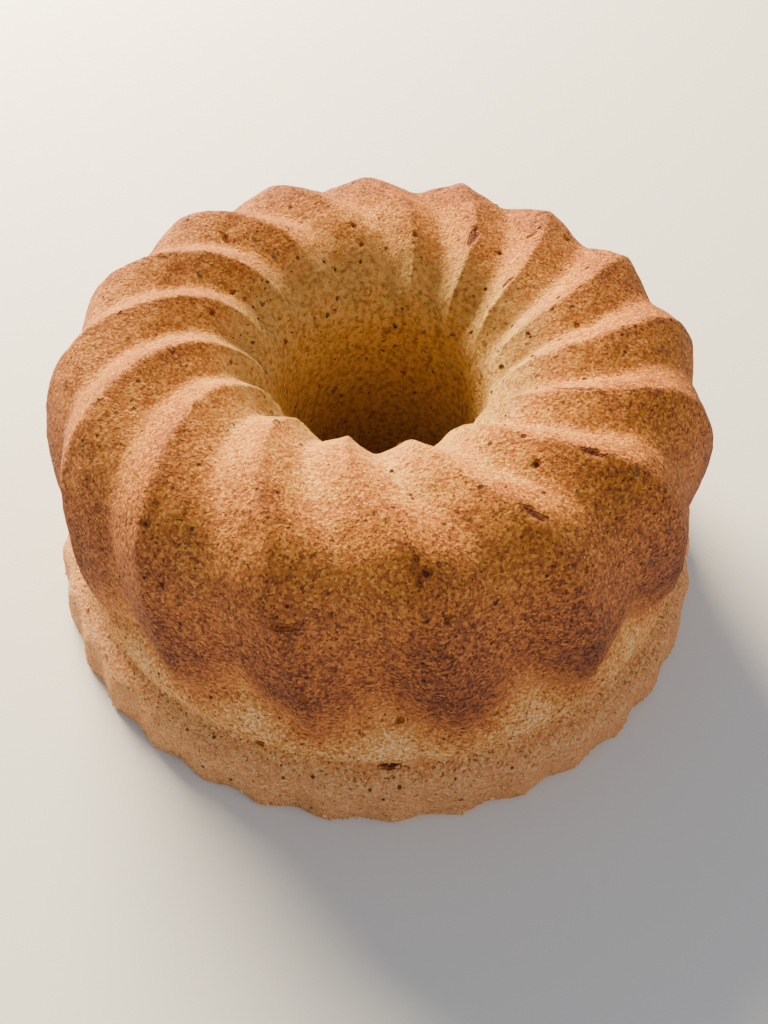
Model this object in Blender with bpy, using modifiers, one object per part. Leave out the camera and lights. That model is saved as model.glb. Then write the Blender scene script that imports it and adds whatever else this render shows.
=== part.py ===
"""A ring cake from a swirled fluted tin, uncut, standing on its wide flat foot.

The blank is a turned ring. Sixteen ridges are then pressed into it: they start on the collar above
the foot, lean as they climb, sweep across the crown and die out inside the hole. Metres, +Z up.
The origin is the middle of the foot, on the surface that the cake stands on.
"""

import bpy
import numpy as np

# Driving dimensions. Radii are measured to the tops of the ridges.
RIDGES = 16
PLEATS = 36
COLUMNS = 144  # a whole number for each ridge and for each pleat

CROWN_RADIUS = 0.0670
CROWN_HEIGHT = 0.0955
BELLY_RADIUS = 0.1022
BELLY_HEIGHT = 0.0450
SHOULDER_HEIGHT = 0.0800
SKIRT_RADIUS = 0.0955  # where the ridged body would meet the ledge, under the collar
THROAT_RADIUS = 0.0325
THROAT_HEIGHT = 0.0640
HOLE_RADIUS = 0.0260

FOOT_RADIUS = 0.1083
FOOT_TOP_RADIUS = 0.1066
FOOT_HEIGHT = 0.0150
PLEAT_DEPTH = 0.0018
LEDGE_RADIUS = 0.1046
LEDGE_HEIGHT = 0.0180
GROOVE_RADIUS = 0.1012
GROOVE_HEIGHT = 0.0200
COLLAR_RADIUS = 0.1016
COLLAR_START = 0.0212
COLLAR_REACH = 0.0155
COLLAR_RISE = 0.0220

OUTER_FULLNESS = 2.55  # 2 is an ellipse, more is squarer
INNER_FULLNESS = 2.10

# How deep the grooves are pressed between the ridges, at each place up, over and down the ring
SKIRT_GROOVE = 0.0076
BELLY_GROOVE = 0.0052
SHOULDER_GROOVE = 0.0046
CROWN_GROOVE = 0.0052
LIP_GROOVE = 0.0038
LIP_RADIUS = 0.0410

# The swirl: a ridge's angle at the skirt, its lean up the side and its sweep over the crown
SKIRT_ANGLE = np.radians(-74.0)
SIDE_LEAN = np.radians(7.5)
CROWN_SWEEP = np.radians(22.5)
PLEAT_ANGLE = np.radians(3.5)

CREST_SHARPNESS = 0.985  # 1 is a knife edge
GROOVE_SHARPNESS = 0.930


def quarter_arc(centre, reach, fullness, turn):
    """Points on a quarter of a superellipse. turn runs from 0 on its side to 1 on its top."""
    angle = turn * np.pi / 2
    radius = centre[0] + reach[0] * np.cos(angle) ** (2 / fullness)
    height = centre[1] + reach[1] * np.sin(angle) ** (2 / fullness)
    return np.column_stack([radius, height])


def ridge_outline():
    """The line along a ridge's top, from the skirt over the crown to the foot of the hole."""
    climb = np.linspace(0, 1, 5, endpoint=False)
    skirt = np.column_stack([
        BELLY_RADIUS - (BELLY_RADIUS - SKIRT_RADIUS) * (1 - climb) ** 2,
        COLLAR_START + 0.0008 + climb * (BELLY_HEIGHT - COLLAR_START - 0.0008),
    ])
    outer = quarter_arc(
        (CROWN_RADIUS, BELLY_HEIGHT),
        (BELLY_RADIUS - CROWN_RADIUS, CROWN_HEIGHT - BELLY_HEIGHT),
        OUTER_FULLNESS,
        np.linspace(0, 1, 10, endpoint=False),
    )
    inner = quarter_arc(
        (CROWN_RADIUS, THROAT_HEIGHT),
        (THROAT_RADIUS - CROWN_RADIUS, CROWN_HEIGHT - THROAT_HEIGHT),
        INNER_FULLNESS,
        np.linspace(1, 0, 8, endpoint=False),
    )
    wall = np.array([(THROAT_RADIUS, THROAT_HEIGHT), (HOLE_RADIUS, 0)])
    return np.concatenate([skirt, outer, inner, wall])


def foot_outline():
    """The line from the flat underside up the pleated foot and over its ledge to the groove."""
    return np.array([
        (FOOT_RADIUS, 0),
        (FOOT_TOP_RADIUS, FOOT_HEIGHT),
        (LEDGE_RADIUS, LEDGE_HEIGHT),
        (GROOVE_RADIUS, GROOVE_HEIGHT),
        (COLLAR_RADIUS, COLLAR_START),
    ])


def eased(place, places, values):
    """Values at a few places joined by smooth steps."""
    part = np.clip(np.searchsorted(places, place) - 1, 0, len(places) - 2)
    share = (place - places[part]) / (places[part + 1] - places[part])
    share = np.clip(share, 0, 1) ** 2 * (3 - 2 * np.clip(share, 0, 1))
    return values[part] * (1 - share) + values[part + 1] * share


def wave(turns, crest, groove):
    """A rounded triangle wave, 1 on a crest and 0 in a groove, each with its own sharpness."""
    swing = np.cos(2 * np.pi * turns)
    sharpness = np.where(swing > 0, crest, groove)
    return 0.5 + 0.5 * np.arcsin(sharpness * swing) / np.arcsin(sharpness)


def groove_depth(outline):
    """How deep the groove is beside each point of a ridge's outline."""
    steps = np.hypot(*np.diff(outline, axis=0).T)
    along = np.concatenate([[0], np.cumsum(steps)])
    crown = int(np.argmax(outline[:, 1]))
    outside, inside = slice(0, crown + 1), slice(crown, None)
    belly = np.interp(BELLY_HEIGHT, outline[outside, 1], along[outside])
    shoulder = np.interp(SHOULDER_HEIGHT, outline[outside, 1], along[outside])
    lip = np.interp(-LIP_RADIUS, -outline[inside, 0], along[inside])
    throat = np.interp(-THROAT_RADIUS, -outline[inside, 0], along[inside])
    places = np.array([0, belly, shoulder, along[crown], lip, throat])
    depths = np.array(
        [SKIRT_GROOVE, BELLY_GROOVE, SHOULDER_GROOVE, CROWN_GROOVE, LIP_GROOVE, 0]
    )
    return eased(along, places, depths)


def swirl(radius, height):
    """The angle that a ridge has turned to at a point of its outline."""
    rise = (height - COLLAR_START) / (SHOULDER_HEIGHT - COLLAR_START)
    rise = np.where(radius > CROWN_RADIUS, np.clip(rise, 0, 1), 1)
    inward = (BELLY_RADIUS - radius) / (BELLY_RADIUS - THROAT_RADIUS)
    inward = np.clip(inward, 0, 1)
    sweep = inward - np.sin(2 * np.pi * inward) / (4 * np.pi)
    return SKIRT_ANGLE - SIDE_LEAN * rise - CROWN_SWEEP * sweep


def collar_radius(height):
    """The smooth collar that the ridges stand on, rounding in as it rises."""
    rise = np.clip((height - COLLAR_START) / COLLAR_RISE, 0, 1)
    return COLLAR_RADIUS - COLLAR_REACH * (1 - np.sqrt(1 - rise**2))


def normals(outline):
    """The outline's outward normals, in the plane of the profile."""
    tangent = np.gradient(outline, axis=0)
    tangent /= np.hypot(*tangent.T)[:, None]
    return np.column_stack([tangent[:, 1], -tangent[:, 0]])


def turned_blank(name, outline):
    """A ring turned from a closed outline, as a plain mesh. Row by row, it keeps the outline's points."""
    count = len(outline)
    profile = bpy.data.meshes.new(name + "_profile")
    corners = [(radius, 0, height) for radius, height in outline[::-1]]
    edges = [(i, (i + 1) % count) for i in range(count)]
    profile.from_pydata(corners, edges, [])
    lathe = bpy.data.objects.new(name + "_profile", profile)
    bpy.context.scene.collection.objects.link(lathe)
    screw = lathe.modifiers.new("Turn", "SCREW")
    screw.steps = COLUMNS
    screw.render_steps = COLUMNS
    screw.use_merge_vertices = True
    screw.merge_threshold = 0.00001
    bpy.context.view_layer.update()
    evaluated = lathe.evaluated_get(bpy.context.evaluated_depsgraph_get())
    blank = bpy.data.meshes.new_from_object(evaluated)
    bpy.data.objects.remove(lathe)
    bpy.data.meshes.remove(profile)
    return blank


def flute(mesh, foot, ridge):
    """Press the pleats into the foot and the swirled grooves into the ring."""
    outline = np.concatenate([foot, ridge])
    depth = np.concatenate([np.zeros(len(foot)), groove_depth(ridge)])
    inward = np.concatenate([np.zeros((len(foot), 2)), normals(ridge)])
    pleat = np.zeros(len(outline))
    pleat[:2] = PLEAT_DEPTH

    points = np.empty(len(mesh.vertices) * 3)
    mesh.vertices.foreach_get("co", points)
    points = points.reshape(-1, 3)
    place = np.column_stack([np.hypot(points[:, 0], points[:, 1]), points[:, 2]])
    row = np.array([np.argmin(np.hypot(*(outline - here).T)) for here in place])
    column = np.arctan2(points[:, 1], points[:, 0])

    angle = column + swirl(outline[row, 0], outline[row, 1])
    pressed = (wave(column * RIDGES / (2 * np.pi), CREST_SHARPNESS, GROOVE_SHARPNESS) - 1) * depth[row]
    radius = outline[row, 0] + pressed * inward[row, 0]
    height = outline[row, 1] + pressed * inward[row, 1]
    on_collar = (row >= len(foot)) & (height < COLLAR_START + COLLAR_RISE) & (radius > CROWN_RADIUS)
    radius = np.where(on_collar, np.maximum(radius, collar_radius(height)), radius)
    pleats = wave((angle - PLEAT_ANGLE) * PLEATS / (2 * np.pi), CREST_SHARPNESS, CREST_SHARPNESS)
    radius += pleat[row] * pleats

    moved = np.column_stack([radius * np.cos(angle), radius * np.sin(angle), height])
    mesh.vertices.foreach_set("co", moved.ravel())
    mesh.update()


def crust():
    """Golden brown baked crust, dry and matt."""
    material = bpy.data.materials.new("baked_crust")
    material.use_nodes = True
    shader = material.node_tree.nodes["Principled BSDF"]
    shader.inputs["Base Color"].default_value = (0.42, 0.19, 0.06, 1)
    shader.inputs["Roughness"].default_value = 0.8
    shader.inputs["Metallic"].default_value = 0
    return material


def ring_cake():
    foot, ridge = foot_outline(), ridge_outline()
    mesh = turned_blank("ring_cake", np.concatenate([foot, ridge]))
    flute(mesh, foot, ridge)
    mesh.name = "ring_cake"
    mesh.shade_smooth()
    mesh.set_sharp_from_angle(angle=np.radians(40))
    mesh.materials.append(crust())
    return bpy.data.objects.new("ring_cake", mesh)


def main():
    for old in list(bpy.data.objects):
        bpy.data.objects.remove(old)
    parts = bpy.data.collections.new("nut_ring_cake")
    bpy.context.scene.collection.children.link(parts)
    parts.objects.link(ring_cake())


main()
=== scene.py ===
"""A nut ring cake, turned out of a swirled fluted tin and standing on its wide end, uncut.

The crust is one skin: an outline is swept round the hole, sixteen ridges are pressed into it, and
the crumb is roughened. Chopped nuts that show at the crust, and loose crumbs, are pieces of their own.
"""

import bpy
import numpy as np
from mathutils import Matrix, Vector
from mathutils.bvhtree import BVHTree


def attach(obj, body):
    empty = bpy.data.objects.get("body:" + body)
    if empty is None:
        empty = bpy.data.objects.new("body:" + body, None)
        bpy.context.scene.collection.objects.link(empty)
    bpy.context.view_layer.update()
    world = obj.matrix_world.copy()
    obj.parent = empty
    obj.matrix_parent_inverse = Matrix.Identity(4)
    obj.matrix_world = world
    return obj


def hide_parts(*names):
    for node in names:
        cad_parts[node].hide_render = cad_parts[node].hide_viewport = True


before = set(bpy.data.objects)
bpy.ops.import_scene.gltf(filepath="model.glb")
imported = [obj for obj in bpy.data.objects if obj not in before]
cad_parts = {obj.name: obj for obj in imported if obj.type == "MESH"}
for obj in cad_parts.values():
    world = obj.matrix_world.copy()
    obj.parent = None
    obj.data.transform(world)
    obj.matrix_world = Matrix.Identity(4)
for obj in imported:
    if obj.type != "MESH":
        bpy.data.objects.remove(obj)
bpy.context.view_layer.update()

# ---------------------------------------------------------------- the tin's sizes, in metres
RIDGES = 16
PLEATS = 36

CROWN_RADIUS = 0.0670
CROWN_HEIGHT = 0.0955
BELLY_RADIUS = 0.1022
BELLY_HEIGHT = 0.0450
SHOULDER_HEIGHT = 0.0800
SKIRT_RADIUS = 0.0955
THROAT_RADIUS = 0.0325
THROAT_HEIGHT = 0.0640
HOLE_RADIUS = 0.0260
OUTER_FULLNESS = 2.55
INNER_FULLNESS = 2.10

FOOT_RADIUS = 0.1083
FOOT_TOP_RADIUS = 0.1066
FOOT_HEIGHT = 0.0150
FOOT_ROUNDING = 0.0008
PLEAT_DEPTH = 0.0018
LEDGE_RADIUS = 0.1046
LEDGE_HEIGHT = 0.0180
GROOVE_RADIUS = 0.1012
GROOVE_HEIGHT = 0.0200
COLLAR_RADIUS = 0.1016
COLLAR_START = 0.0212
COLLAR_REACH = 0.0155
COLLAR_RISE = 0.0220

SKIRT_GROOVE = 0.0076
BELLY_GROOVE = 0.0052
SHOULDER_GROOVE = 0.0046
CROWN_GROOVE = 0.0052
LIP_GROOVE = 0.0038
LIP_RADIUS = 0.0410

SKIRT_ANGLE = np.radians(-74.0)
SIDE_LEAN = np.radians(7.5)
CROWN_SWEEP = np.radians(22.5)
PLEAT_ANGLE = np.radians(3.5)

COLUMNS = 432  # 27 to a ridge and 12 to a pleat
MIDDLE = Vector((CROWN_RADIUS, 0, 0.048))  # the middle of the ring's cross-section
SMOOTH_CREST = 0.45  # what the crest attribute holds where there is neither ridge nor groove


# ---------------------------------------------------------------- small tools
def add(tree, kind, wires=(), **settings):
    """A node with its settings. wires holds, by input, a value or the output that feeds it."""
    node = tree.nodes.new(kind)
    for name, value in settings.items():
        setattr(node, name, value)
    for key, value in dict(wires).items():
        if isinstance(value, bpy.types.NodeSocket):
            tree.links.new(value, node.inputs[key])
        else:
            node.inputs[key].default_value = value
    return node


def linear(hex_colour):
    """An sRGB hex colour as linear red, green, blue and a full alpha."""
    parts = [int(hex_colour[i : i + 2], 16) / 255 for i in (1, 3, 5)]
    return [p / 12.92 if p <= 0.04045 else ((p + 0.055) / 1.055) ** 2.4 for p in parts] + [1]


def ramp(node, *stops):
    """Colours along a ramp, each stop a place and a hex colour or a grey."""
    band = node.color_ramp.elements
    while len(band) < len(stops):
        band.new(0.5)
    for element, (place, colour) in zip(band, stops):
        element.position = place
        element.color = linear(colour) if isinstance(colour, str) else [colour] * 3 + [1]


def bend(node, *points):
    """A float curve through these points."""
    line = node.mapping.curves[0]
    line.points[0].location = points[0]
    line.points[1].location = points[-1]
    for point in points[1:-1]:
        line.points.new(*point)
    for point in line.points:
        point.handle_type = "VECTOR"
    node.mapping.update()


def per(millimetres):
    """A pattern's scale, to the nearest ten cells a metre, from the size of one cell."""
    return round(1000 / millimetres, -1)


def new_recipe(name, **inputs):
    """An empty Geometry Nodes tree with a Geometry in and out, and these inputs and their defaults."""
    tree = bpy.data.node_groups.new(name, "GeometryNodeTree")
    tree.interface.new_socket("Geometry", in_out="INPUT", socket_type="NodeSocketGeometry")
    tree.interface.new_socket("Geometry", in_out="OUTPUT", socket_type="NodeSocketGeometry")
    kinds = {int: "NodeSocketInt", float: "NodeSocketFloat"}
    for label, value in inputs.items():
        kind = kinds.get(type(value), "NodeSocketObject")
        socket = tree.interface.new_socket(label.replace("_", " "), socket_type=kind)
        if kind in ("NodeSocketInt", "NodeSocketFloat"):
            socket.default_value = value
    return tree, add(tree, "NodeGroupInput").outputs


def follow(name, tree, base, **inputs):
    """Run a tree on a base mesh and keep what it makes as a plain mesh object."""
    piece = bpy.data.objects.new(name, base)
    bpy.context.scene.collection.objects.link(piece)
    recipe = piece.modifiers.new("Recipe", "NODES")
    recipe.node_group = tree
    for socket in tree.interface.items_tree:
        key = socket.name.replace(" ", "_")
        if socket.in_out == "INPUT" and key in inputs:
            recipe[socket.identifier] = inputs[key]
    bpy.context.view_layer.update()
    graph = bpy.context.evaluated_depsgraph_get()
    mesh = bpy.data.meshes.new_from_object(piece.evaluated_get(graph), depsgraph=graph)
    mesh.name = name
    piece.modifiers.remove(recipe)
    piece.data = mesh
    return piece


# ---------------------------------------------------------------- the tin's outline
def quarter_arc(centre, reach, fullness, turn):
    """Points on a quarter of a superellipse, from its side at turn 0 to its top at turn 1."""
    angle = turn * np.pi / 2
    radius = centre[0] + reach[0] * np.cos(angle) ** (2 / fullness)
    height = centre[1] + reach[1] * np.sin(angle) ** (2 / fullness)
    return np.column_stack([radius, height])


def ridge_outline():
    """The line along a ridge's top, from the skirt over the crown to the top of the hole's wall."""
    climb = np.linspace(0.16, 1, 36, endpoint=False)
    skirt = np.column_stack([
        BELLY_RADIUS - (BELLY_RADIUS - SKIRT_RADIUS) * (1 - climb) ** 2,
        COLLAR_START + 0.0008 + climb * (BELLY_HEIGHT - COLLAR_START - 0.0008),
    ])
    outer = quarter_arc(
        (CROWN_RADIUS, BELLY_HEIGHT),
        (BELLY_RADIUS - CROWN_RADIUS, CROWN_HEIGHT - BELLY_HEIGHT),
        OUTER_FULLNESS,
        np.linspace(0, 1, 90, endpoint=False),
    )
    inner = quarter_arc(
        (CROWN_RADIUS, THROAT_HEIGHT),
        (THROAT_RADIUS - CROWN_RADIUS, CROWN_HEIGHT - THROAT_HEIGHT),
        INNER_FULLNESS,
        np.linspace(1, 0, 80),
    )
    return np.concatenate([skirt, outer, inner])


def rounded(line, times):
    """A line with its corners cut, so that it rounds where it turned."""
    for _ in range(times):
        near = line[:-1] * 0.75 + line[1:] * 0.25
        far = line[:-1] * 0.25 + line[1:] * 0.75
        line = np.concatenate([line[:1], np.stack([near, far], 1).reshape(-1, 2), line[-1:]])
    return line


def spaced(line, gap):
    """A line's points laid out again at an even gap."""
    along = np.concatenate([[0], np.cumsum(np.hypot(*np.diff(line, axis=0).T))])
    stations = np.linspace(0, along[-1], int(round(along[-1] / gap)) + 1)
    return np.column_stack([np.interp(stations, along, line[:, i]) for i in (0, 1)])


def eased(place, places, values):
    """Values at a few places joined by smooth steps."""
    part = np.clip(np.searchsorted(places, place) - 1, 0, len(places) - 2)
    share = np.clip((place - places[part]) / (places[part + 1] - places[part]), 0, 1)
    share = share**2 * (3 - 2 * share)
    return values[part] * (1 - share) + values[part + 1] * share


def groove_depth(line):
    """How deep the groove is beside each point of a ridge's top."""
    along = np.concatenate([[0], np.cumsum(np.hypot(*np.diff(line, axis=0).T))])
    crown = int(np.argmax(line[:, 1]))
    belly, shoulder = np.interp([BELLY_HEIGHT, SHOULDER_HEIGHT], line[:crown, 1], along[:crown])
    lip = np.interp(-LIP_RADIUS, -line[crown:, 0], along[crown:])
    places = np.array([0, belly, shoulder, along[crown], lip, along[-1]])
    depths = [SKIRT_GROOVE, BELLY_GROOVE, SHOULDER_GROOVE, CROWN_GROOVE, LIP_GROOVE, 0]
    return eased(along, places, np.array(depths))


def swirl(radius, height):
    """The angle that a ridge has turned to at a point of its top."""
    rise = (height - COLLAR_START) / (SHOULDER_HEIGHT - COLLAR_START)
    rise = np.where(radius > CROWN_RADIUS, np.clip(rise, 0, 1), 1)
    inward = np.clip((BELLY_RADIUS - radius) / (BELLY_RADIUS - THROAT_RADIUS), 0, 1)
    sweep = inward - np.sin(2 * np.pi * inward) / (4 * np.pi)
    return SKIRT_ANGLE - SIDE_LEAN * rise - CROWN_SWEEP * sweep


def outline_mesh():
    """The whole outline, closed on itself. Each point holds how it is grooved, turned and pleated."""
    foot = np.array([
        (FOOT_RADIUS - FOOT_ROUNDING, 0),
        (FOOT_RADIUS, 0.0018),
        (FOOT_TOP_RADIUS, FOOT_HEIGHT),
        (LEDGE_RADIUS, LEDGE_HEIGHT),
        (GROOVE_RADIUS - 0.0004, GROOVE_HEIGHT + 0.0006),
        (COLLAR_RADIUS - 0.0001, COLLAR_START + 0.0030),
    ])
    foot = spaced(rounded(foot, 4), 0.00095)
    ridge = spaced(ridge_outline(), 0.00094)
    wall = spaced(np.array([(THROAT_RADIUS, THROAT_HEIGHT), (HOLE_RADIUS, 0)]), 0.0022)[1:]
    under = spaced(np.array([(HOLE_RADIUS, 0), (FOOT_RADIUS - FOOT_ROUNDING, 0)]), 0.012)[1:]
    line = np.concatenate([foot, ridge, wall, under])
    flat = np.zeros(len(line))
    flat[: len(foot)] = 1

    ridged = slice(len(foot), len(foot) + len(ridge))
    tangent = np.gradient(ridge, axis=0)
    tangent /= np.hypot(*tangent.T)[:, None]
    out = np.zeros((len(line), 3))
    out[ridged, 0], out[ridged, 2] = tangent[:, 1], -tangent[:, 0]
    groove = np.zeros(len(line))
    groove[ridged] = groove_depth(ridge)
    pleat = PLEAT_DEPTH * flat * np.interp(line[:, 1], [0.0140, 0.0175], [1, 0])
    turn = swirl(line[:, 0], line[:, 1])
    turn[-len(under) :] = np.linspace(turn[-len(under) - 1], SKIRT_ANGLE, len(under) + 1)[1:]

    mesh = bpy.data.meshes.new("outline")
    mesh.from_pydata([(r, 0, z) for r, z in line], [], [])
    facing = mesh.attributes.new("facing", "FLOAT_VECTOR", "POINT")
    facing.data.foreach_set("vector", out.ravel())
    pressed = mesh.attributes.new("pressed", "FLOAT_VECTOR", "POINT")
    pressed.data.foreach_set("vector", np.column_stack([groove, turn, pleat]).ravel())
    return mesh


# ---------------------------------------------------------------- the crust's recipe
def press_ridges(tree, given, turned, sampled, depth):
    """The outline pressed in between the ridges, and how near each point is to a ridge's top.

    A ridge has straight flanks, a crisp top and a slightly rounded groove beside it.
    """
    phase = add(
        tree, "ShaderNodeMath", {0: turned.outputs[0], 1: given["Ridges"]}, operation="MULTIPLY"
    )
    place = add(tree, "ShaderNodeMath", {0: phase.outputs[0]}, operation="FRACT")
    ridge = add(tree, "ShaderNodeFloatCurve", {"Value": place.outputs[0]})
    bend(
        ridge, (0, 1), (0.03, 0.955), (0.08, 0.84), (0.40, 0.135), (0.45, 0.035), (0.5, 0),
        (0.55, 0.035), (0.60, 0.135), (0.92, 0.84), (0.97, 0.955), (1, 1),
    )
    lowered = add(tree, "ShaderNodeMath", {0: ridge.outputs[0], 1: 1.0}, operation="SUBTRACT")
    moved = add(tree, "ShaderNodeMath", {0: lowered.outputs[0], 1: depth}, operation="MULTIPLY")
    shift = add(
        tree, "ShaderNodeVectorMath", {0: sampled["facing"], "Scale": moved.outputs[0]}, operation="SCALE"
    )
    fluted = add(
        tree, "ShaderNodeVectorMath", {0: sampled["position"], 1: shift.outputs[0]}, operation="ADD"
    )
    fluted = add(tree, "ShaderNodeSeparateXYZ", {0: fluted.outputs[0]}).outputs
    return fluted, ridge.outputs[0]


def hold_out_collar(tree, fluted, depth):
    """Each point's radius, no less than that of the collar that the ridges run out on."""
    rise = add(
        tree,
        "ShaderNodeMapRange",
        {"Value": fluted[2], "From Min": COLLAR_START, "From Max": COLLAR_START + COLLAR_RISE},
    )
    collar = add(tree, "ShaderNodeFloatCurve", {"Value": rise.outputs[0]})
    steps = np.linspace(0, 1, 12)
    bend(collar, *[(t, float(np.sqrt(1 - t * t))) for t in steps])
    collar = add(
        tree,
        "ShaderNodeMapRange",
        {"Value": collar.outputs[0], "To Min": COLLAR_RADIUS - COLLAR_REACH, "To Max": COLLAR_RADIUS},
    )
    # It holds only outside the crown, where the grooves are over a millimetre deep, and at its own height
    outside = add(tree, "ShaderNodeMath", {0: fluted[0], 1: CROWN_RADIUS}, operation="GREATER_THAN")
    outside = add(tree, "ShaderNodeMath", {0: outside.outputs[0], 1: depth}, operation="MULTIPLY")
    outside = add(tree, "ShaderNodeMath", {0: outside.outputs[0], 1: 0.001}, operation="GREATER_THAN")
    beside = add(
        tree, "ShaderNodeMath", {0: rise.outputs[0], 1: 0.5, 2: 0.4999}, operation="COMPARE"
    )
    wanted = add(
        tree, "ShaderNodeMath", {0: outside.outputs[0], 1: beside.outputs[0]}, operation="MULTIPLY"
    )
    floor = add(
        tree, "ShaderNodeMath", {0: collar.outputs[0], 1: wanted.outputs[0]}, operation="MULTIPLY"
    )
    radius = add(
        tree, "ShaderNodeMath", {0: fluted[0], 1: floor.outputs[0], 2: 0.0008}, operation="SMOOTH_MAX"
    )
    return radius.outputs[0]


def fold_pleats(tree, turned, turn, pleat_depth, radius):
    """Each point's radius with the foot's pleats, and its angle round the ring."""
    angle = add(
        tree, "ShaderNodeMath", {0: turned.outputs[0], 1: 2 * np.pi, 2: turn}, operation="MULTIPLY_ADD"
    )
    per_turn = PLEATS / (2 * np.pi)
    fold = add(
        tree,
        "ShaderNodeMath",
        {0: angle.outputs[0], 1: per_turn, 2: 2 * PLEATS - PLEAT_ANGLE * PLEATS / (2 * np.pi)},
        operation="MULTIPLY_ADD",
    )
    fold = add(tree, "ShaderNodeMath", {0: fold.outputs[0]}, operation="FRACT")
    pleat = add(tree, "ShaderNodeFloatCurve", {"Value": fold.outputs[0]})
    bend(pleat, (0, 1), (0.06, 0.93), (0.44, 0.07), (0.5, 0), (0.56, 0.07), (0.94, 0.93), (1, 1))
    radius = add(
        tree,
        "ShaderNodeMath",
        {0: pleat.outputs[0], 1: pleat_depth, 2: radius},
        operation="MULTIPLY_ADD",
    )
    return radius.outputs[0], angle.outputs[0]


def roughen(tree, given, skin):
    """Uneven baking over some 30 mm, lumps of 7 mm in the crumb and a ragged lower edge."""
    here = add(tree, "GeometryNodeInputPosition").outputs[0]
    normal = add(tree, "GeometryNodeInputNormal").outputs[0]
    height = add(tree, "ShaderNodeSeparateXYZ", {0: here}).outputs[2]
    free = add(tree, "ShaderNodeMapRange", {"Value": height, "From Min": 0.0, "From Max": 0.004})
    slow = add(tree, "ShaderNodeTexNoise", {"Vector": here, "Scale": 30.0, "Detail": 1.0})
    lumps = add(tree, "ShaderNodeTexNoise", {"Vector": here, "Scale": 150.0, "Detail": 2.0})
    spread = []
    for noise, size in ((slow, "Unevenness"), (lumps, "Lumps")):
        low = add(tree, "ShaderNodeMath", {0: given[size], 1: -1.0}, operation="MULTIPLY")
        wires = {"Value": noise.outputs[0], "From Min": 0.25, "From Max": 0.75}
        wires.update({"To Min": low.outputs[0], "To Max": given[size]})
        spread.append(add(tree, "ShaderNodeMapRange", wires).outputs[0])
    both = add(tree, "ShaderNodeMath", {0: spread[0], 1: spread[1]}, operation="ADD")
    both = add(tree, "ShaderNodeMath", {0: both.outputs[0], 1: free.outputs[0]}, operation="MULTIPLY")
    offset = add(tree, "ShaderNodeVectorMath", {0: normal, "Scale": both.outputs[0]}, operation="SCALE")
    ragged = add(tree, "ShaderNodeTexNoise", {"Vector": here, "Scale": 260.0, "Detail": 2.0})
    edge = add(
        tree, "ShaderNodeMapRange", {"Value": height, "From Max": 0.003, "To Min": 1.0, "To Max": 0.0}
    )
    ragged = add(tree, "ShaderNodeMath", {0: ragged.outputs[0], 1: 0.5}, operation="SUBTRACT")
    ragged = add(
        tree, "ShaderNodeMath", {0: ragged.outputs[0], 1: edge.outputs[0]}, operation="MULTIPLY"
    )
    ragged = add(
        tree, "ShaderNodeMath", {0: ragged.outputs[0], 1: given["Ragged edge"]}, operation="MULTIPLY"
    )
    outward = add(tree, "ShaderNodeVectorMath", {0: here, 1: (1, 1, 0)}, operation="MULTIPLY")
    outward = add(tree, "ShaderNodeVectorMath", {0: outward.outputs[0]}, operation="NORMALIZE")
    frayed = add(
        tree,
        "ShaderNodeVectorMath",
        {0: outward.outputs[0], "Scale": ragged.outputs[0]},
        operation="SCALE",
    )
    offset = add(
        tree, "ShaderNodeVectorMath", {0: offset.outputs[0], 1: frayed.outputs[0]}, operation="ADD"
    )
    rough = add(tree, "GeometryNodeSetPosition", {"Geometry": skin, "Offset": offset.outputs[0]})
    return rough.outputs[0]


def open_marks(tree, given, skin):
    """How far each point is from the edge of the nearest pore or tear, and a dent where it is in one."""
    marks = add(tree, "GeometryNodeObjectInfo", {"Object": given["Marks"]})
    onto = add(tree, "GeometryNodeProximity", {"Geometry": skin}, target_element="FACES")
    settled = add(
        tree,
        "GeometryNodeSetPosition",
        {"Geometry": marks.outputs["Geometry"], "Position": onto.outputs["Position"]},
    )
    away = add(tree, "GeometryNodeProximity", {"Geometry": settled.outputs[0]}, target_element="EDGES")
    nearest = add(tree, "GeometryNodeSampleNearest", {"Geometry": settled.outputs[0]}, domain="POINT")
    width = add(tree, "GeometryNodeInputNamedAttribute", {"Name": "width"}, data_type="FLOAT")
    width = add(
        tree,
        "GeometryNodeSampleIndex",
        {"Geometry": settled.outputs[0], "Value": width.outputs[0], "Index": nearest.outputs[0]},
        data_type="FLOAT",
    )
    gap = add(
        tree,
        "ShaderNodeMath",
        {0: away.outputs["Distance"], 1: width.outputs["Value"]},
        operation="SUBTRACT",
    )
    marked = add(
        tree,
        "GeometryNodeStoreNamedAttribute",
        {"Geometry": skin, "Name": "to_mark", "Value": gap.outputs[0]},
        data_type="FLOAT",
        domain="POINT",
    )
    dent = add(
        tree,
        "ShaderNodeMapRange",
        {"Value": gap.outputs[0], "From Min": 0.0003, "From Max": -0.0010, "To Max": -0.0009},
        interpolation_type="SMOOTHSTEP",
    )
    normal = add(tree, "GeometryNodeInputNormal").outputs[0]
    sunk = add(
        tree, "ShaderNodeVectorMath", {0: normal, "Scale": dent.outputs[0]}, operation="SCALE"
    )
    dented = add(
        tree, "GeometryNodeSetPosition", {"Geometry": marked.outputs[0], "Offset": sunk.outputs[0]}
    )
    return dented.outputs[0]


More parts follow.
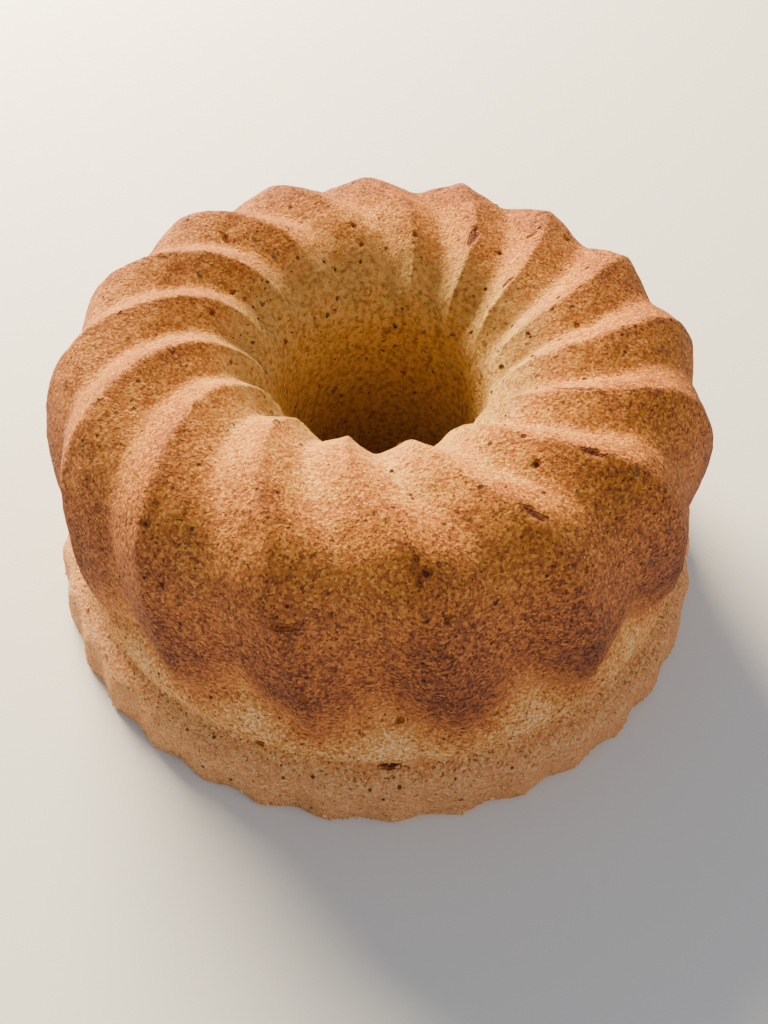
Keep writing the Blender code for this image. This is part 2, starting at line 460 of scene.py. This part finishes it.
def ring_recipe(crust):
    """A tree that sweeps the outline round the hole, presses in ridges and pleats, and roughens it."""
    tree, given = new_recipe(
        "Swirled ring",
        Columns=COLUMNS,
        Ridges=RIDGES,
        Unevenness=0.0006,
        Lumps=0.0003,
        Ragged_edge=0.0006,
        Marks=bpy.types.Object,
    )
    rows = add(tree, "GeometryNodeAttributeDomainSize", {"Geometry": given["Geometry"]})
    columns = add(tree, "ShaderNodeMath", {0: given["Columns"], 1: 1.0}, operation="ADD")
    grid = add(
        tree,
        "GeometryNodeMeshGrid",
        {"Size X": 1.0, "Size Y": 1.0, "Vertices X": columns.outputs[0]},
    )
    tree.links.new(rows.outputs["Point Count"], grid.inputs["Vertices Y"])
    unwrapped = add(
        tree,
        "GeometryNodeStoreNamedAttribute",
        {"Geometry": grid.outputs["Mesh"], "Name": "OFBake", "Value": grid.outputs["UV Map"]},
        data_type="FLOAT2",
        domain="CORNER",
    )

    # Which row of the outline and which column round the ring each point belongs to
    index = add(tree, "GeometryNodeInputIndex").outputs[0]
    count = rows.outputs["Point Count"]
    row = add(tree, "ShaderNodeMath", {0: index, 1: count}, operation="MODULO").outputs[0]
    share = add(tree, "ShaderNodeMath", {0: index, 1: count}, operation="DIVIDE").outputs[0]
    column = add(tree, "ShaderNodeMath", {0: share}, operation="FLOOR").outputs[0]
    turned = add(tree, "ShaderNodeMath", {0: column, 1: given["Columns"]}, operation="DIVIDE")

    sampled = {}
    for name in ("position", "facing", "pressed"):
        field = add(tree, "GeometryNodeInputPosition") if name == "position" else add(
            tree, "GeometryNodeInputNamedAttribute", {"Name": name}, data_type="FLOAT_VECTOR"
        )
        sample = add(
            tree,
            "GeometryNodeSampleIndex",
            {"Geometry": given["Geometry"], "Value": field.outputs[0], "Index": row},
            data_type="FLOAT_VECTOR",
        )
        sampled[name] = sample.outputs["Value"]

    depth, turn, pleat_depth = add(tree, "ShaderNodeSeparateXYZ", {0: sampled["pressed"]}).outputs
    fluted, ridge = press_ridges(tree, given, turned, sampled, depth)
    radius = hold_out_collar(tree, fluted, depth)
    radius, angle = fold_pleats(tree, turned, turn, pleat_depth, radius)
    flat = add(tree, "ShaderNodeCombineXYZ", {0: radius, 2: fluted[2]})
    placed = add(
        tree,
        "ShaderNodeVectorRotate",
        {"Vector": flat.outputs[0], "Angle": angle},
        rotation_type="Z_AXIS",
    )
    blank = add(
        tree, "GeometryNodeSetPosition", {"Geometry": unwrapped.outputs[0], "Position": placed.outputs[0]}
    )
    # 1 on a ridge, 0 in a groove, and in between where the crust is smooth
    relief = add(tree, "ShaderNodeMapRange", {"Value": depth, "From Max": LIP_GROOVE})
    crest = add(tree, "ShaderNodeMath", {0: ridge, 1: SMOOTH_CREST}, operation="SUBTRACT")
    crest = add(
        tree,
        "ShaderNodeMath",
        {0: crest.outputs[0], 1: relief.outputs[0], 2: SMOOTH_CREST},
        operation="MULTIPLY_ADD",
    )
    crested = add(
        tree,
        "GeometryNodeStoreNamedAttribute",
        {"Geometry": blank.outputs[0], "Name": "crest", "Value": crest.outputs[0]},
        data_type="FLOAT",
        domain="POINT",
    )
    closed = add(tree, "GeometryNodeMergeByDistance", {"Geometry": crested.outputs[0], "Distance": 1e-5})

    rough = open_marks(tree, given, roughen(tree, given, closed.outputs[0]))
    smooth = add(tree, "GeometryNodeSetShadeSmooth", {"Geometry": rough})
    real = add(tree, "GeometryNodeRealizeInstances", {"Geometry": smooth.outputs[0]})
    done = add(
        tree, "GeometryNodeSetMaterial", {"Geometry": real.outputs[0], "Material": crust}
    )
    add(tree, "NodeGroupOutput", {"Geometry": done.outputs[0]})
    return tree


# ---------------------------------------------------------------- small things on the crust
def scatter_recipe(name, material):
    """A tree that sets lumps on a crust, thickest where its attribute of this name is highest."""
    tree, given = new_recipe(
        "Scattered " + name, Density=1000.0, Smallest=0.0003, Largest=0.001, Flatness=0.5, Seed=1
    )
    share = add(tree, "GeometryNodeInputNamedAttribute", {"Name": name}, data_type="FLOAT")
    density = add(
        tree, "ShaderNodeMath", {0: share.outputs[0], 1: given["Density"]}, operation="MULTIPLY"
    )
    spots = add(
        tree,
        "GeometryNodeDistributePointsOnFaces",
        {"Mesh": given["Geometry"], "Density": density.outputs[0], "Seed": given["Seed"]},
    )
    lump = add(tree, "GeometryNodeMeshUVSphere", {"Segments": 7, "Rings": 5, "Radius": 1.0})
    spin = add(
        tree,
        "FunctionNodeRandomValue",
        {0: (-0.5, -0.5, 0.0), 1: (0.5, 0.5, 6.28), "Seed": given["Seed"]},
        data_type="FLOAT_VECTOR",
    )
    spin = add(
        tree,
        "FunctionNodeRotateRotation",
        {"Rotation": spots.outputs["Rotation"], "Rotate By": spin.outputs[0]},
        rotation_space="LOCAL",
    )
    chance = add(tree, "FunctionNodeRandomValue", {"Seed": given["Seed"]}, data_type="FLOAT")
    chance = add(tree, "ShaderNodeMath", {0: chance.outputs[1], 1: 2.5}, operation="POWER")
    size = add(
        tree,
        "ShaderNodeMapRange",
        {"Value": chance.outputs[0], "To Min": given["Smallest"], "To Max": given["Largest"]},
    )
    thin = add(
        tree, "ShaderNodeMath", {0: size.outputs[0], 1: given["Flatness"]}, operation="MULTIPLY"
    )
    narrow = add(tree, "ShaderNodeMath", {0: size.outputs[0], 1: 0.65}, operation="MULTIPLY")
    size = add(
        tree, "ShaderNodeCombineXYZ", {0: size.outputs[0], 1: narrow.outputs[0], 2: thin.outputs[0]}
    )
    placed = add(
        tree,
        "GeometryNodeInstanceOnPoints",
        {
            "Points": spots.outputs["Points"],
            "Instance": lump.outputs["Mesh"],
            "Rotation": spin.outputs[0],
            "Scale": size.outputs[0],
        },
    )
    real = add(tree, "GeometryNodeRealizeInstances", {"Geometry": placed.outputs[0]})
    here = add(tree, "GeometryNodeInputPosition").outputs[0]
    chipped = add(tree, "ShaderNodeTexNoise", {"Vector": here, "Scale": 900.0})
    chipped = add(
        tree,
        "ShaderNodeVectorMath",
        {0: chipped.outputs["Color"], 1: (0.5, 0.5, 0.5)},
        operation="SUBTRACT",
    )
    chipped = add(
        tree, "ShaderNodeVectorMath", {0: chipped.outputs[0], "Scale": given["Largest"]}, operation="SCALE"
    )
    chipped = add(
        tree, "GeometryNodeSetPosition", {"Geometry": real.outputs[0], "Offset": chipped.outputs[0]}
    )
    done = add(
        tree, "GeometryNodeSetMaterial", {"Geometry": chipped.outputs[0], "Material": material}
    )
    add(tree, "NodeGroupOutput", {"Geometry": done.outputs[0]})
    return tree


# ---------------------------------------------------------------- finishes
def plain_food(name, dark, light, roughness, grain):
    """A matt food colour that wanders between two tones, with grains of so many millimetres."""
    material = bpy.data.materials.new(name)
    material.use_nodes = True
    tree = material.node_tree
    shader = tree.nodes["Principled BSDF"]
    shader.inputs["Roughness"].default_value = roughness
    shader.inputs["Specular IOR Level"].default_value = 0.3
    here = add(tree, "ShaderNodeTexCoord").outputs["Object"]
    tone = add(tree, "ShaderNodeTexNoise", {"Vector": here, "Scale": per(grain), "Detail": 2.0})
    colour = add(tree, "ShaderNodeValToRGB", {0: tone.outputs[0]})
    ramp(colour, (0.35, dark), (0.65, light))
    tree.links.new(colour.outputs[0], shader.inputs["Base Color"])
    bump = add(tree, "ShaderNodeBump", {"Distance": 0.0002, "Height": tone.outputs[0]})
    tree.links.new(bump.outputs[0], shader.inputs["Normal"])
    return material


def browning_and_painted_light(tree, here, apart, radius):
    """How far the skin has browned, 0 to 1, and each point's height as a share of 100 mm.

    It has browned most on the ridges' outer faces, and least on the lip and the collar. A ridge's
    tip browns lower down than the groove beside it, where the collar arches up. It also holds painted
    shade, in a line along the groove above the foot's ledge and on the right and far sides, and painted
    light on the near side's top.
    """
    crest = add(tree, "ShaderNodeAttribute", attribute_name="crest")
    ridged = add(tree, "ShaderNodeMath", {0: crest.outputs["Fac"], 1: SMOOTH_CREST}, operation="SUBTRACT")
    arched = add(tree, "ShaderNodeMath", {0: ridged.outputs[0], 1: 0.25}, operation="MINIMUM")
    reach = add(
        tree, "ShaderNodeMath", {0: arched.outputs[0], 1: 0.010, 2: apart[2]}, operation="MULTIPLY_ADD"
    )
    up_side = add(tree, "ShaderNodeMapRange", {"Value": reach.outputs[0], "From Max": 0.1})
    side = add(tree, "ShaderNodeFloatCurve", {"Value": up_side.outputs[0]})
    # The small rise at 0.205 is a painted shade line in the groove between the foot's ledge and the collar
    bend(
        side, (0, 0.35), (0.17, 0.30), (0.205, 0.35), (0.24, 0.26), (0.29, 0.31), (0.34, 0.45),
        (0.43, 0.61), (0.53, 0.77), (0.64, 0.71), (0.80, 0.60), (0.92, 0.56), (1, 0.55),
    )
    # Painted shade: the right and far sides are made browner. Painted light: the near side's top is paler
    side = add(
        tree, "ShaderNodeMath", {0: apart[0], 1: 0.4, 2: side.outputs[0]}, operation="MULTIPLY_ADD"
    )
    far_side_painted_shade = add(
        tree,
        "ShaderNodeMapRange",
        {"Value": apart[1], "From Min": 0.01, "From Max": 0.08, "To Max": 0.14},
    )
    side = add(tree, "ShaderNodeMath", {0: side.outputs[0], 1: far_side_painted_shade.outputs[0]}, operation="ADD")
    # Painted light: the near side's top is paler
    near_top_painted_light = add(
        tree,
        "ShaderNodeMapRange",
        {"Value": apart[1], "From Min": -0.03, "From Max": -0.075, "To Max": -0.15},
    )
    across = add(tree, "ShaderNodeMapRange", {"Value": radius, "From Min": 0.035, "From Max": 0.085})
    top = add(tree, "ShaderNodeFloatCurve", {"Value": across.outputs[0]})
    bend(top, (0, 0.40), (0.25, 0.45), (0.65, 0.57), (1, 1))
    top = add(tree, "ShaderNodeMath", {0: top.outputs[0], 1: near_top_painted_light.outputs[0]}, operation="ADD")
    browned = add(
        tree, "ShaderNodeMath", {0: side.outputs[0], 1: top.outputs[0]}, operation="MINIMUM"
    )
    browned = add(
        tree,
        "ShaderNodeMath",
        {0: ridged.outputs[0], 1: 0.15, 2: browned.outputs[0]},
        operation="MULTIPLY_ADD",
    )
    # Patches and blotches, from uneven contact with the tin
    for width, share in ((20.0, 0.24), (4.55, 0.26)):
        patch = add(tree, "ShaderNodeTexNoise", {"Vector": here, "Scale": per(width), "Detail": 3.0})
        patch = add(tree, "ShaderNodeMath", {0: patch.outputs[0], 1: 0.5}, operation="SUBTRACT")
        browned = add(
            tree,
            "ShaderNodeMath",
            {0: patch.outputs[0], 1: share, 2: browned.outputs[0]},
            operation="MULTIPLY_ADD",
        )
    return browned.outputs[0], up_side.outputs[0]


def skin_colour(tree, here, apart, radius, toned):
    """The skin's colour before pits and tears, from how dark each grain has baked, with painted shade."""
    # The sides are red-brown. The crown, which was the bottom of the tin, is more golden.
    tone = add(tree, "ShaderNodeValToRGB", {0: toned})
    ramp(
        tone,
        (0.0, "#f2cb90"), (0.25, "#e0a05a"), (0.5, "#c27638"), (0.74, "#935435"), (1.0, "#583226"),
    )
    golden = add(tree, "ShaderNodeValToRGB", {0: toned})
    ramp(
        golden,
        (0.0, "#f8d482"), (0.28, "#e09f46"), (0.55, "#bc7026"), (0.80, "#8c4c24"), (1.0, "#5c3322"),
    )
    upper = add(tree, "ShaderNodeMapRange", {"Value": apart[2], "From Min": 0.075, "From Max": 0.092})
    tone = add(
        tree,
        "ShaderNodeMix",
        {"Factor": upper.outputs[0], 6: tone.outputs[0], 7: golden.outputs[0]},
        data_type="RGBA",
    )

    # Inside the hole the skin is thin, yellow and flecked, and painted shade darkens it downwards
    inner = add(
        tree,
        "ShaderNodeMapRange",
        {"Value": radius, "From Min": 0.053, "From Max": 0.038},
        interpolation_type="SMOOTHSTEP",
    )
    fleck = add(tree, "ShaderNodeTexNoise", {"Vector": here, "Scale": per(1.67), "Detail": 3.0})
    fleck = add(
        tree, "ShaderNodeMapRange", {"Value": fleck.outputs[0], "From Min": 0.42, "From Max": 0.80}
    )
    # Painted shade: the hole's skin is darker towards the bottom of the hole
    thin = add(tree, "ShaderNodeMapRange", {"Value": apart[2], "From Min": 0.0, "From Max": 0.06})
    thin = add(tree, "ShaderNodeValToRGB", {0: thin.outputs[0]})
    ramp(thin, (0.0, "#966a4c"), (0.5, "#b48a54"), (1.0, "#d2a456"))
    flecked = add(
        tree,
        "ShaderNodeMix",
        {"Factor": fleck.outputs[0], 6: thin.outputs[0], 7: linear("#7a4a1e")},
        data_type="RGBA",
    )
    # The foot rose above the tin's flutes, so it is duller
    low = add(
        tree,
        "ShaderNodeMapRange",
        {"Value": apart[2], "From Min": 0.024, "From Max": 0.016, "To Max": 0.45},
    )
    dulled = add(
        tree,
        "ShaderNodeMix",
        {"Factor": low.outputs[0], 6: tone.outputs[2], 7: linear("#c48d68")},
        data_type="RGBA",
    )
    coloured = add(
        tree,
        "ShaderNodeMix",
        {"Factor": inner.outputs[0], 6: dulled.outputs[2], 7: flecked.outputs[2]},
        data_type="RGBA",
    )

    # Painted shade: the far outer side, foot and all, is darkened against the strong light from behind
    outer = add(tree, "ShaderNodeMapRange", {"Value": apart[2], "From Min": 0.088, "From Max": 0.068})
    back_shade_reach = add(
        tree,
        "ShaderNodeMapRange",
        {"Value": apart[1], "From Min": 0.0, "From Max": 0.085, "To Max": 0.75},
    )
    back_painted_shade = add(
        tree, "ShaderNodeMath", {0: outer.outputs[0], 1: back_shade_reach.outputs[0]}, operation="MULTIPLY"
    )
    outside = add(tree, "ShaderNodeMath", {0: radius, 1: 0.06}, operation="GREATER_THAN")
    back_painted_shade = add(
        tree, "ShaderNodeMath", {0: back_painted_shade.outputs[0], 1: outside.outputs[0]}, operation="MULTIPLY"
    )
    coloured = add(
        tree,
        "ShaderNodeMix",
        {"Factor": back_painted_shade.outputs[0], 6: coloured.outputs[2], 7: linear("#b6a272")},
        data_type="RGBA",
        blend_type="MULTIPLY",
    )
    return coloured.outputs[2]


def hollows(tree, here, browned, up_side):
    """How deep each point lies in a pit, pore or tear: its dark heart, and a tear's open crumb.

    Pits are less than a millimetre across, pores are 1 to 2 mm, and the larger pores and the tears
    are the marks pressed into the mesh. Their dark hearts are painted shade.
    """
    pit = add(
        tree, "ShaderNodeTexNoise", {"Vector": here, "Scale": per(1.0), "Detail": 3.0, "Roughness": 0.6}
    )
    pit = add(
        tree, "ShaderNodeMath", {0: browned, 1: 0.10, 2: pit.outputs[0]}, operation="MULTIPLY_ADD"
    )
    porous = add(tree, "ShaderNodeFloatCurve", {"Value": up_side})
    bend(porous, (0, 0), (0.16, 0.02), (0.21, 0.05), (0.27, 0.05), (0.34, 0), (1, 0))
    pit = add(tree, "ShaderNodeMath", {0: pit.outputs[0], 1: porous.outputs[0]}, operation="ADD")
    pit = add(tree, "ShaderNodeMath", {0: pit.outputs[0], 1: 0.06}, operation="SUBTRACT")
    pit = add(
        tree,
        "ShaderNodeMapRange",
        {"Value": pit.outputs[0], "From Min": 0.61, "From Max": 0.67, "To Max": 0.75},
    )
    pore = add(tree, "ShaderNodeTexVoronoi", {"Vector": here, "Scale": per(4.0)})
    pick = add(tree, "ShaderNodeSeparateColor", {0: pore.outputs["Color"]}).outputs[0]
    size = add(
        tree, "ShaderNodeMapRange", {"Value": pick, "From Min": 0.50, "From Max": 1.0, "To Max": 0.19}
    )
    deep = add(
        tree, "ShaderNodeMath", {0: size.outputs[0], 1: pore.outputs["Distance"]}, operation="SUBTRACT"
    )
    deep = add(tree, "ShaderNodeMapRange", {"Value": deep.outputs[0], "From Max": 0.06})
    gap = add(tree, "ShaderNodeAttribute", attribute_name="to_mark")
    frayed = add(tree, "ShaderNodeTexNoise", {"Vector": here, "Scale": per(1.54), "Detail": 3.0})
    frayed = add(tree, "ShaderNodeMath", {0: frayed.outputs[0], 1: 0.5}, operation="SUBTRACT")
    frayed = add(
        tree,
        "ShaderNodeMath",
        {0: frayed.outputs[0], 1: 0.0018, 2: gap.outputs["Fac"]},
        operation="MULTIPLY_ADD",
    )
    torn = add(
        tree, "ShaderNodeMapRange", {"Value": frayed.outputs[0], "From Min": 0.0002, "From Max": -0.0002}
    )
    # A tear's dark heart is painted shade
    heart = add(
        tree, "ShaderNodeMapRange", {"Value": frayed.outputs[0], "From Min": -0.0002, "From Max": -0.0006}
    )
    dark = add(tree, "ShaderNodeMath", {0: deep.outputs[0], 1: heart.outputs[0]}, operation="MAXIMUM")
    dark = add(tree, "ShaderNodeMath", {0: dark.outputs[0], 1: pit.outputs[0]}, operation="MAXIMUM")
    hollow = add(tree, "ShaderNodeMath", {0: dark.outputs[0], 1: torn.outputs[0]}, operation="MAXIMUM")
    return dark.outputs[0], torn.outputs[0], hollow.outputs[0]


def baked_crust():
    """Baked sponge crust, dry and matt.

    The eye sees a fine grain of pale crumb and browned skin, darker where the tin was hottest and
    paler down in the grooves and on the foot, broken by pores and a few tears. Painted shade darkens
    the right and far sides, the groove above the ledge, the hole's depths and the hearts of pores
    and tears, and painted light pales the near side's top.
    """
    material = bpy.data.materials.new("baked_sponge_crust")
    material.use_nodes = True
    tree = material.node_tree
    shader = tree.nodes["Principled BSDF"]
    shader.inputs["Roughness"].default_value = 0.85
    shader.inputs["Specular IOR Level"].default_value = 0.2
    here = add(tree, "ShaderNodeTexCoord").outputs["Object"]
    apart = add(tree, "ShaderNodeSeparateXYZ", {0: here}).outputs
    level = add(tree, "ShaderNodeVectorMath", {0: here, 1: (1, 1, 0)}, operation="MULTIPLY")
    radius = add(tree, "ShaderNodeVectorMath", {0: level.outputs[0]}, operation="LENGTH")
    radius = radius.outputs["Value"]

    # The grain: crumbs, each a little paler or darker than the next, drawn no finer than shows
    crumb = add(tree, "ShaderNodeTexVoronoi", {"Vector": here, "Scale": per(0.667)})
    dust = add(
        tree, "ShaderNodeTexNoise", {"Vector": here, "Scale": per(1.11), "Detail": 3.0, "Roughness": 0.7}
    )
    cell = add(tree, "ShaderNodeSeparateColor", {0: crumb.outputs["Color"]})
    grain = add(
        tree, "ShaderNodeMath", {0: cell.outputs[0], 1: 0.6, 2: dust.outputs[0]}, operation="MULTIPLY_ADD"
    )
    speck = add(
        tree,
        "ShaderNodeMapRange",
        {"Value": grain.outputs[0], "From Min": 0.40, "From Max": 1.20, "To Min": 0.27, "To Max": -0.27},
    )
    browned, up_side = browning_and_painted_light(tree, here, apart, radius)
    toned = add(tree, "ShaderNodeMath", {0: browned, 1: speck.outputs[0]}, operation="ADD")
    coloured = skin_colour(tree, here, apart, radius, toned.outputs[0])
    dark, torn, hollow = hollows(tree, here, browned, up_side)
    opened = add(
        tree,
        "ShaderNodeMix",
        {"Factor": torn, 6: coloured, 7: linear("#a85f26")},
        data_type="RGBA",
    )
    # Painted shade: the hearts of pits, pores and tears are darkened to a deep red-brown
    shaded = add(tree, "ShaderNodeMath", {0: dark, 1: 0.85}, operation="MULTIPLY")
    final = add(
        tree,
        "ShaderNodeMix",
        {"Factor": shaded.outputs[0], 6: opened.outputs[2], 7: linear("#3a1518")},
        data_type="RGBA",
    )
    tree.links.new(final.outputs[2], shader.inputs["Base Color"])

    lift = add(
        tree, "ShaderNodeMath", {0: hollow, 1: -1.2, 2: grain.outputs[0]}, operation="MULTIPLY_ADD"
    )
    bump = add(tree, "ShaderNodeBump", {"Strength": 1.0, "Distance": 0.0010, "Height": lift.outputs[0]})
    tree.links.new(bump.outputs[0], shader.inputs["Normal"])
    return material


# ---------------------------------------------------------------- pores and tears
# Each is a path on the crust, in degrees: around the cake, anticlockwise from its right, and over the
# ring's section, where 0 faces outwards, 90 up and 180 into the hole. Half-widths are in metres.
PORES = (
    (-128, 57, 0.0011), (-83, 63, 0.0013), (-80, 49, 0.0009), (-89, 30, 0.0006), (-58, 52, 0.0009),
    (-50, 45, 0.0007), (-65, 40, 0.0007), (-86, -20, 0.0010), (-76, 0, 0.0008), (-55, 90, 0.0011),
    (174, 111, 0.0008), (-130, 65, 0.0006), (79, 112, 0.0009), (102, 109, 0.0010), (100, 117, 0.0009),
    (-108, -38, 0.0010), (95, -155, 0.0010), (153, 143, 0.0008),
)
TEARS = (
    (0.0009, (-85, 70), (-84, 65), (-84, 58)),
    (0.0007, (-105, 45), (-103, 43), (-100, 44)),
    (0.0006, (-101, 15), (-100, 9), (-99, 5)),
    (0.0006, (-83, 41), (-81, 38)),
    (0.0012, (-27, 109), (-28, 101), (-28, 95)),
    (0.0012, (-46, 85), (-44, 78)),
    (0.0013, (-65, 77), (-63, 72), (-62, 70)),
    (0.0008, (36, 119), (35, 113)),
    (0.0006, (16, 100), (17, 96)),
    (0.0016, (58, 111), (59, 105), (60, 101)),
    (0.0010, (-89, -39), (-87, -39), (-85, -39)),
)


def on_skin(skin, around, over):
    """The point of the crust in that direction from the middle of the ring's section."""
    turn = Matrix.Rotation(np.radians(around), 3, "Z")
    ray = Vector((np.cos(np.radians(over)), 0, np.sin(np.radians(over))))
    return skin.ray_cast(turn @ MIDDLE, turn @ ray)[0]


def marks_on(skin):
    """The pores and tears as short edges on the crust, each point with its half-width."""
    rng = np.random.default_rng(11)
    paths = [(width, (a, o), (a + 0.3, o)) for a, o, width in PORES] + list(TEARS)
    for _ in range(46):
        around, over = rng.uniform(0, 200), rng.uniform(-35, 130)
        paths.append((rng.uniform(0.0004, 0.0010), (around, over), (around + 0.3, over)))
    for _ in range(9):
        around, over = rng.uniform(-10, 200), rng.uniform(30, 110)
        paths.append((0.0007, (around, over), (around - 1, over - rng.uniform(4, 9))))
    points, edges, widths = [], [], []
    for width, *path in paths:
        long = len(path) > 2 or abs(path[0][1] - path[-1][1]) > 1
        for step in range(7 if long else 2):
            share = step / (6 if long else 1)
            place = share * (len(path) - 1)
            around, over = (np.interp(place, range(len(path)), axis) for axis in zip(*path))
            if step:
                edges.append((len(points) - 1, len(points)))
            if long:
                around += rng.uniform(-0.3, 0.3)
            points.append(on_skin(skin, around, over))
            widths.append(width * (0.3 + rng.uniform(0.6, 1.1) * np.sin(np.pi * share)) if long else width)
    mesh = bpy.data.meshes.new("marks")
    mesh.from_pydata(points, edges, [])
    mesh.attributes.new("width", "FLOAT", "POINT").data.foreach_set("value", widths)
    return bpy.data.objects.new("marks", mesh)


# ---------------------------------------------------------------- the cake
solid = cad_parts["ring_cake"].data
skin = BVHTree.FromPolygons([v.co for v in solid.vertices], [f.vertices for f in solid.polygons])
marks = marks_on(skin)
bpy.context.scene.collection.objects.link(marks)
crust = baked_crust()
cake = follow("cake_crust", ring_recipe(crust), outline_mesh(), Marks=marks)
bpy.data.objects.remove(marks)
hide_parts("ring_cake")
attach(cake, "root")


# ---------------------------------------------------------------- nuts and crumbs
def scattered(name, material, **sizes):
    """Small lumps of one kind over the cake's crust, as one plain mesh."""
    piece = follow(name, scatter_recipe(name, material), cake.data.copy(), **sizes)
    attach(piece, "root")
    return piece


points = np.empty(len(cake.data.vertices) * 3)
cake.data.vertices.foreach_get("co", points)
points = points.reshape(-1, 3)
radius, height = np.hypot(points[:, 0], points[:, 1]), points[:, 2]
# Nuts show mostly in the hole, where the skin is thin. Crumbs cling to the ledge and the lower edge.
nutty = np.interp(radius, [0.030, 0.045, 0.070, 0.090, 0.105], [1, 0.5, 0.16, 0.10, 0.02])
crumby = np.interp(height, [0.0008, 0.0013, 0.0024, 0.0036], [0, 1, 1, 0])
crumby += 0.12 * np.interp(height, [0.014, 0.018, 0.026, 0.032], [0, 1, 1, 0])
crumby *= (radius > 0.09) * 1.0
for name, share in (("nut_flecks", nutty * (height > 0.004)), ("crumbs", crumby)):
    cake.data.attributes.new(name, "FLOAT", "POINT").data.foreach_set("value", share)

# Walnut, chopped with its skin on and roasted in the batter: dull dark specks, each a little uneven
nut = plain_food("chopped_walnut", "#3f2a1c", "#7d6042", 0.75, 2.0)
flecks = scattered(
    "nut_flecks", nut, Density=16000.0, Smallest=0.0003, Largest=0.0015, Flatness=0.2, Seed=4
)
# Sponge rubbed off the ledge and the lower edge: a dusting, paler than the skin and quite matt
crumb = plain_food("loose_sponge_crumb", "#b57a3e", "#e2b377", 0.9, 1.11)
crumbs = scattered(
    "crumbs", crumb, Density=500000.0, Smallest=0.00025, Largest=0.0009, Flatness=0.7, Seed=9
)
for name in ("nut_flecks", "crumbs"):
    cake.data.attributes.remove(cake.data.attributes[name])


# ---------------------------------------------------------------- floor, light and camera
def studio():
    """A plain pale floor and soft light, stronger from behind on the left, as from a window."""
    mesh = bpy.data.meshes.new("floor")
    mesh.from_pydata([(-3, -3, 0), (3, -3, 0), (3, 3, 0), (-3, 3, 0)], [], [(0, 1, 2, 3)])
    floor = bpy.data.objects.new("floor", mesh)
    bpy.context.scene.collection.objects.link(floor)
    paint = bpy.data.materials.new("matt_pale_paint")
    paint.use_nodes = True
    shader = paint.node_tree.nodes["Principled BSDF"]
    shader.inputs["Base Color"].default_value = linear("#d9d9d6")
    shader.inputs["Roughness"].default_value = 0.7
    mesh.materials.append(paint)

    world = bpy.data.worlds.new("room")
    world.use_nodes = True
    world.node_tree.nodes["Background"].inputs["Color"].default_value = linear("#e0e8f6")
    world.node_tree.nodes["Background"].inputs["Strength"].default_value = 0.53
    bpy.context.scene.world = world
    lamps = (
        ("window", (-0.68, 1.18, 0.80), 1.0, 165, "#ffeac2"),
        ("fill", (1.2, -0.9, 0.5), 1.2, 9, "#fff1e2"),
    )
    for name, place, size, power, colour in lamps:
        light = bpy.data.lights.new(name, "AREA")
        light.shape = "DISK"
        light.size = size
        light.energy = power
        light.color = linear(colour)[:3]
        lamp = bpy.data.objects.new(name, light)
        aim = (Vector((0, 0, 0.05)) - Vector(place)).to_track_quat("-Z", "Y")
        lamp.matrix_world = Matrix.Translation(place) @ aim.to_matrix().to_4x4()
        bpy.context.scene.collection.objects.link(lamp)


def camera():
    """Looking down at the near side from a little above the cake, as one does at a worktop."""
    yaw, dip, roll = np.radians([0.664, 48.983, 2.189])
    ahead = Vector((np.sin(yaw) * np.cos(dip), np.cos(yaw) * np.cos(dip), -np.sin(dip)))
    across = Vector((np.cos(yaw), -np.sin(yaw), 0))
    up = across.cross(ahead)
    right = np.cos(roll) * across + np.sin(roll) * up
    top = np.cos(roll) * up - np.sin(roll) * across
    lens = bpy.data.cameras.new("camera")
    lens.lens = 30.93
    lens.sensor_width = 36
    lens.clip_start = 0.01
    eye = bpy.data.objects.new("camera", lens)
    turn = Matrix((right, top, -ahead)).transposed().to_4x4()
    eye.matrix_world = Matrix.Translation((-0.00037, -0.20716, 0.24762)) @ turn
    bpy.context.scene.collection.objects.link(eye)
    bpy.context.scene.camera = eye


studio()
camera()
